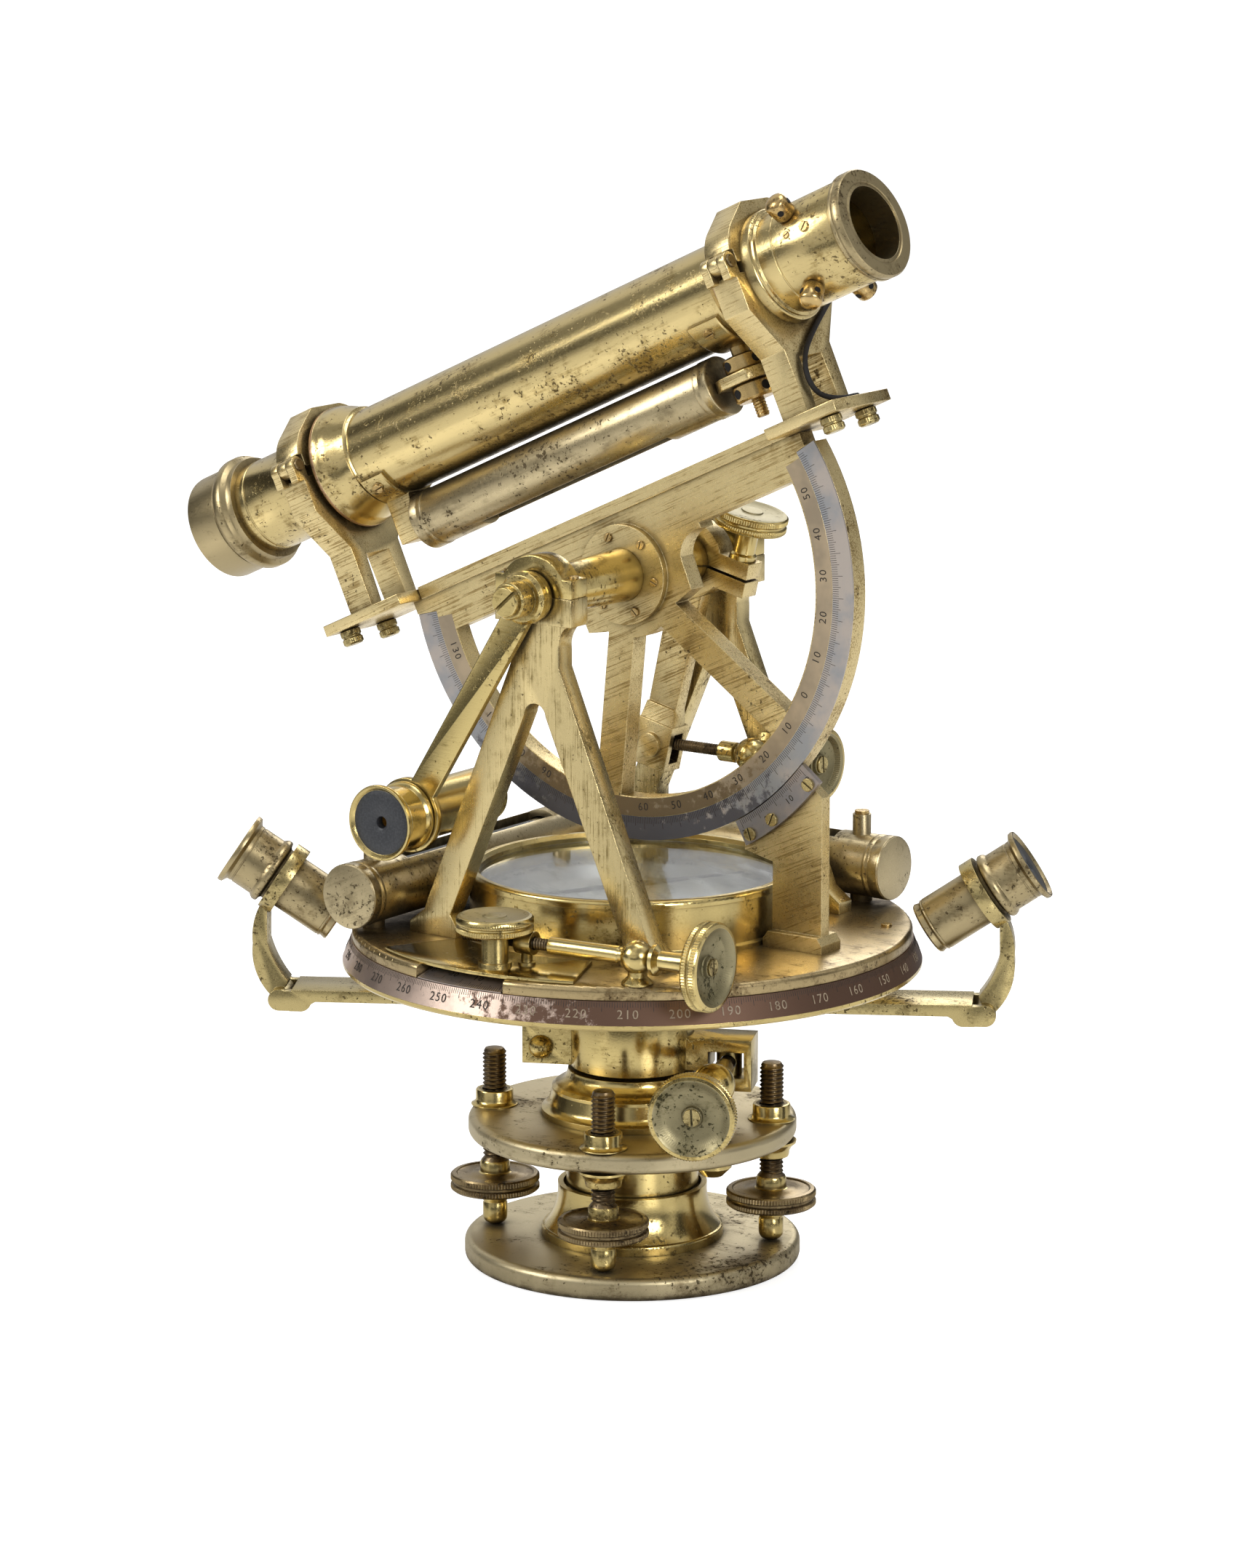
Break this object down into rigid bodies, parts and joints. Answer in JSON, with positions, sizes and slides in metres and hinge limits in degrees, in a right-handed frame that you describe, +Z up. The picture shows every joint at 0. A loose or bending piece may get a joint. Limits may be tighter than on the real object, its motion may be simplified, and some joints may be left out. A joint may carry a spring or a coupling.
{
  "type": "theodolite",
  "caption": "Antique brass surveying theodolite: levelling head, silvered limb with folding readers, compass, A frames, half circle arc and telescope in Ys.",
  "frame": {"origin": "centre of the threaded recess at the underside of the lower plate, on the vertical axis", "axes": "+Z up along the vertical axis, +X towards the eyepiece end of the telescope, +Y along the trunnion towards the standard with the altitude clamp"},
  "size_m": [0.2423, 0.154, 0.2951],
  "materials": {
    "lacquered_brass": "worn lacquered brass, polished under brown patina",
    "dull_brass": "dull olive brass with dark spots",
    "bronzed_brass": "brown bronzed brass",
    "silvered": "tarnished silvering with black engraving",
    "glass": "clear",
    "blued_steel": "blued",
    "silk": "black plaited silk"
  },
  "bodies": {
    "base": {"lower_plate": "dull_brass", "bell": "lacquered_brass"},
    "tipping_ring": {"swivel_cup": "lacquered_brass"},
    "head": {"upper_plate": "dull_brass", "centre_socket": "lacquered_brass", "lower_tangent_post": "lacquered_brass"},
    "screw_1": {"level_screw_1": "bronzed_brass"},
    "screw_2": {"level_screw_2": "bronzed_brass"},
    "screw_3": {"level_screw_3": "bronzed_brass"},
    "screw_4": {"level_screw_4": "bronzed_brass"},
    "lower_clamp": {"lower_clamp_collar": "lacquered_brass"},
    "lower_clamp_screw": {"lower_clamp_screw": "lacquered_brass"},
    "lower_tangent": {"lower_tangent_screw": "lacquered_brass"},
    "limb": {"limb": "lacquered_brass", "limb_scale": "silvered"},
    "alidade": {"vernier_plate": "dull_brass", "verniers": "silvered", "compass_box": "lacquered_brass", "compass_bezel": "lacquered_brass", "compass_glass": "glass", "compass_dial": "silvered", "tangent_posts": "lacquered_brass", "front_standard": "lacquered_brass", "rear_standard": "lacquered_brass", "bearing_caps": "lacquered_brass", "left_level": "dull_brass", "rear_level": "dull_brass", "plate_vials": "glass", "vernier_post": "lacquered_brass"},
    "needle": {"compass_needle": "blued_steel"},
    "reader_ring": {"reader_ring": "lacquered_brass"},
    "reader_arm_a": {"reader_arm_a": "lacquered_brass"},
    "reader_arm_b": {"reader_arm_b": "lacquered_brass"},
    "reader_scope_a": {"reader_scope_a": "dull_brass"},
    "reader_scope_b": {"reader_scope_b": "dull_brass"},
    "azimuth_clamp": {"azimuth_clamp_plate": "lacquered_brass"},
    "azimuth_knob": {"azimuth_clamp_knob": "lacquered_brass"},
    "azimuth_tangent": {"azimuth_tangent_screw": "lacquered_brass"},
    "cradle": {"altitude_arc": "lacquered_brass", "arc_scale": "silvered", "trunnion": "lacquered_brass", "wye_left": "lacquered_brass", "wye_right": "lacquered_brass", "wye_hardware": "bronzed_brass", "clip_cord": "silk"},
    "clip_left": {"clip_left": "lacquered_brass"},
    "clip_right": {"clip_right": "lacquered_brass"},
    "telescope": {"telescope_tube": "lacquered_brass", "end_cells": "dull_brass", "lenses": "glass", "slung_level": "dull_brass", "slung_vial": "glass", "slung_brackets": "lacquered_brass", "capstans": "lacquered_brass"},
    "magnifier_arm": {"magnifier_arm": "lacquered_brass"},
    "magnifier": {"magnifier": "lacquered_brass"},
    "altitude_clamp": {"altitude_clamp": "lacquered_brass"},
    "altitude_knob": {"altitude_clamp_knob": "lacquered_brass"},
    "altitude_tangent": {"altitude_tangent_screw": "lacquered_brass"}
  },
  "joints": [
    {"name": "tilt_a", "type": "hinge", "parent": "base", "child": "tipping_ring", "pos_m": [0, 0, 0.018], "axis": [0.9157, 0.4019, 0], "range_deg": [-2.5, 2.5]},
    {"name": "tilt_b", "type": "hinge", "parent": "tipping_ring", "child": "head", "pos_m": [0, 0, 0.018], "axis": [-0.4019, 0.9157, 0], "range_deg": [-2.5, 2.5]},
    {"name": "screw_1_travel", "type": "slide", "parent": "head", "child": "screw_1", "axis": [0, 0, 1], "range_m": [-0.0017, 0.0017]},
    {"name": "screw_2_travel", "type": "slide", "parent": "head", "child": "screw_2", "axis": [0, 0, 1], "range_m": [-0.0017, 0.0017]},
    {"name": "screw_3_travel", "type": "slide", "parent": "head", "child": "screw_3", "axis": [0, 0, 1], "range_m": [-0.0017, 0.0017]},
    {"name": "screw_4_travel", "type": "slide", "parent": "head", "child": "screw_4", "axis": [0, 0, 1], "range_m": [-0.0017, 0.0017]},
    {"name": "lower_clamp_swing", "type": "hinge", "parent": "head", "child": "lower_clamp", "pos_m": [0, 0, 0.055], "axis": [0, 0, 1], "range_deg": [-2, 2]},
    {"name": "lower_clamp_screw_turn", "type": "hinge", "parent": "lower_clamp", "child": "lower_clamp_screw", "pos_m": [-0.02175, -0.01014, 0.0576], "axis": [-0.4226, 0.9063, 0], "range_deg": [-90, 90]},
    {"name": "lower_tangent_turn", "type": "hinge", "parent": "head", "child": "lower_tangent", "pos_m": [0.02374, 0.01107, 0.055], "axis": [0.4226, -0.9063, 0], "range_deg": [-445, 445]},
    {"name": "limb_turn", "type": "hinge", "parent": "head", "child": "limb", "pos_m": [0, 0, 0.08], "axis": [0, 0, 1], "continuous": true},
    {"name": "alidade_turn", "type": "hinge", "parent": "limb", "child": "alidade", "pos_m": [0, 0, 0.092], "axis": [0, 0, 1], "continuous": true},
    {"name": "needle_turn", "type": "hinge", "parent": "alidade", "child": "needle", "pos_m": [0, 0, 0.1], "axis": [0, 0, 1], "continuous": true},
    {"name": "readers_turn", "type": "hinge", "parent": "alidade", "child": "reader_ring", "pos_m": [0, 0, 0.071], "axis": [0, 0, 1], "range_deg": [-50, 0]},
    {"name": "reader_a_fold", "type": "hinge", "parent": "reader_ring", "child": "reader_arm_a", "pos_m": [0.08141, 0.047, 0.07], "axis": [-0.5, 0.866, 0], "range_deg": [0, 75]},
    {"name": "reader_a_focus", "type": "slide", "parent": "reader_arm_a", "child": "reader_scope_a", "axis": [0.7198, 0.4156, 0.5561], "range_m": [0, 0.003]},
    {"name": "reader_b_fold", "type": "hinge", "parent": "reader_ring", "child": "reader_arm_b", "pos_m": [-0.08141, -0.047, 0.07], "axis": [0.5, -0.866, 0], "range_deg": [0, 75]},
    {"name": "reader_b_focus", "type": "slide", "parent": "reader_arm_b", "child": "reader_scope_b", "axis": [-0.7198, -0.4156, 0.5561], "range_m": [0, 0.003]},
    {"name": "azimuth_clamp_swing", "type": "hinge", "parent": "alidade", "child": "azimuth_clamp", "pos_m": [0, 0, 0.092], "axis": [0, 0, 1], "range_deg": [-1.2, 1.2]},
    {"name": "azimuth_knob_turn", "type": "hinge", "parent": "azimuth_clamp", "child": "azimuth_knob", "pos_m": [0.0033, -0.0654, 0.104], "axis": [0, 0, 1], "range_deg": [-90, 90]},
    {"name": "azimuth_tangent_turn", "type": "hinge", "parent": "alidade", "child": "azimuth_tangent", "pos_m": [0.0089, -0.0593, 0.0989], "axis": [0.9956, 0.0941, 0], "range_deg": [-610, 610]},
    {"name": "altitude", "type": "hinge", "parent": "alidade", "child": "cradle", "pos_m": [0, 0, 0.1858], "axis": [0, 1, 0], "range_deg": [-22, 66]},
    {"name": "telescope_roll", "type": "hinge", "parent": "cradle", "child": "telescope", "pos_m": [-0.02356, 0, 0.23726], "axis": [0.9092, 0, 0.4163], "continuous": true},
    {"name": "clip_left_open", "type": "hinge", "parent": "cradle", "child": "clip_left", "pos_m": [-0.0997, -0.0196, 0.20658], "axis": [0.9092, 0, 0.4163], "range_deg": [0, 100]},
    {"name": "clip_right_open", "type": "hinge", "parent": "cradle", "child": "clip_right", "pos_m": [0.04032, -0.0196, 0.27069], "axis": [0.9092, 0, 0.4163], "range_deg": [0, 100]},
    {"name": "magnifier_arm_swing", "type": "hinge", "parent": "alidade", "child": "magnifier_arm", "pos_m": [0, -0.045, 0.1858], "axis": [0, 1, 0], "range_deg": [0, 8]},
    {"name": "magnifier_focus", "type": "slide", "parent": "magnifier_arm", "child": "magnifier", "axis": [0, -1, 0], "range_m": [0, 0.003]},
    {"name": "altitude_clamp_swing", "type": "hinge", "parent": "alidade", "child": "altitude_clamp", "pos_m": [0, 0.03, 0.1858], "axis": [0, 1, 0], "range_deg": [-0.8, 0.8]},
    {"name": "altitude_knob_turn", "type": "hinge", "parent": "altitude_clamp", "child": "altitude_knob", "pos_m": [0.014, 0.029, 0.18244], "axis": [0.2334, 0, 0.9724], "range_deg": [-90, 90]},
    {"name": "altitude_tangent_turn", "type": "hinge", "parent": "alidade", "child": "altitude_tangent", "pos_m": [-0.01242, 0.03, 0.13407], "axis": [1, 0, 0], "range_deg": [-352, 352]}
  ],
  "couplings": [
    {"joint": "screw_1_travel", "follows": "tilt_b", "m_per_rad": 0.0378},
    {"joint": "screw_3_travel", "follows": "tilt_b", "m_per_rad": -0.0378},
    {"joint": "screw_2_travel", "follows": "tilt_a", "m_per_rad": -0.0378},
    {"joint": "screw_4_travel", "follows": "tilt_a", "m_per_rad": 0.0378},
    {"joint": "lower_tangent_turn", "follows": "lower_clamp_swing", "ratio": 219.49},
    {"joint": "azimuth_tangent_turn", "follows": "azimuth_clamp_swing", "ratio": -501.82},
    {"joint": "altitude_tangent_turn", "follows": "altitude_clamp_swing", "ratio": 433.37}
  ]
}
